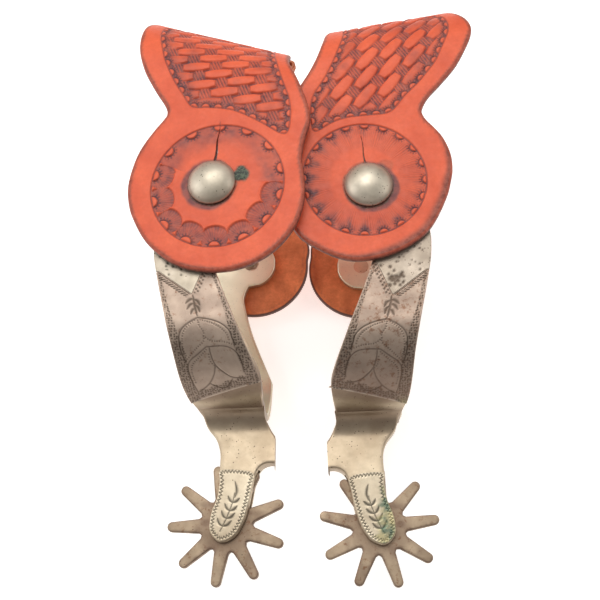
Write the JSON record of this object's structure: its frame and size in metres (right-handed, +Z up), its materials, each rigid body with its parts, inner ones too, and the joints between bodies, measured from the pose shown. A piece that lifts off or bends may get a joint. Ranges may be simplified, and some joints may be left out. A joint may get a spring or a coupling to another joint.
{
  "type": "pair of spurs with straps",
  "caption": "Pair of western riding spurs with engraved heel bands, star rowels, chap guards, domed buttons and stamped leather wing straps.",
  "frame": {"origin": "on the surface the pair lies on, under the middle of its outline", "axes": "+Z up, away from the surface; +Y from the rowels towards the straps; +X from the left spur to the right one"},
  "size_m": [0.1646, 0.2824, 0.1159],
  "materials": {
    "nickel": "satin, aged nickel silver",
    "engraved_nickel": "engraved, tarnished",
    "polished_nickel": "polished, pitted",
    "rusted_steel": "tan patina",
    "steel": "plain",
    "tooled_leather": "tooled, smooth",
    "brown_leather": "smooth"
  },
  "bodies": {
    "right_spur": {"right_heel_band": "nickel", "right_band_overlay": "engraved_nickel", "right_tab_plate": "polished_nickel", "right_shank": "nickel", "right_cheek_overlay": "engraved_nickel", "right_rowel_pin": "steel", "right_outer_button": "polished_nickel", "right_outer_post": "steel", "right_inner_button": "polished_nickel", "right_inner_post": "steel"},
    "right_rowel_body": {"right_rowel": "rusted_steel"},
    "right_strap": {"right_wing_strap": "tooled_leather", "right_inner_strap": "brown_leather", "right_buckle_frame": "nickel", "right_keeper": "brown_leather", "right_strap_rivets": "nickel"},
    "right_tongue": {"right_buckle_tongue": "nickel"},
    "left_spur": {"left_heel_band": "nickel", "left_band_overlay": "engraved_nickel", "left_tab_plate": "polished_nickel", "left_shank": "nickel", "left_cheek_overlay": "engraved_nickel", "left_rowel_pin": "steel", "left_outer_button": "polished_nickel", "left_outer_post": "steel", "left_inner_button": "polished_nickel", "left_inner_post": "steel"},
    "left_rowel_body": {"left_rowel": "rusted_steel"},
    "left_strap": {"left_wing_strap": "tooled_leather", "left_inner_strap": "brown_leather", "left_buckle_frame": "nickel", "left_keeper": "brown_leather", "left_strap_rivets": "nickel"},
    "left_tongue": {"left_buckle_tongue": "nickel"}
  },
  "joints": [
    {"name": "left_spur_part", "type": "slide", "parent": "right_spur", "child": "left_spur", "axis": [-1, 0, 0], "range_m": [0, 0.06]},
    {"name": "right_rowel_spin", "type": "hinge", "parent": "right_spur", "child": "right_rowel_body", "pos_m": [0.02998, -0.11508, 0.03458], "axis": [0.0025, -0.1291, 0.9916], "continuous": true},
    {"name": "right_strap_swing", "type": "hinge", "parent": "right_spur", "child": "right_strap", "pos_m": [0.02869, 0.03019, 0.0535], "axis": [-0.0025, 0.1291, -0.9916], "range_deg": [-2.5, 20]},
    {"name": "right_tongue_hinge", "type": "hinge", "parent": "right_strap", "child": "right_tongue", "pos_m": [0.02422, 0.12939, 0.06038], "axis": [0.9845, 0.1741, 0.0202], "range_deg": [0, 60]},
    {"name": "left_rowel_spin", "type": "hinge", "parent": "left_spur", "child": "left_rowel_body", "pos_m": [-0.03835, -0.11337, 0.03687], "axis": [-0.134, -0.1243, 0.9831], "continuous": true},
    {"name": "left_strap_swing", "type": "hinge", "parent": "left_spur", "child": "left_strap", "pos_m": [-0.03578, 0.03191, 0.0556], "axis": [-0.134, -0.1243, 0.9831], "range_deg": [-2.5, 20]},
    {"name": "left_tongue_hinge", "type": "hinge", "parent": "left_strap", "child": "left_tongue", "pos_m": [-0.01577, 0.11595, 0.06285], "axis": [0.9214, -0.3809, 0.0775], "range_deg": [0, 60]}
  ]
}
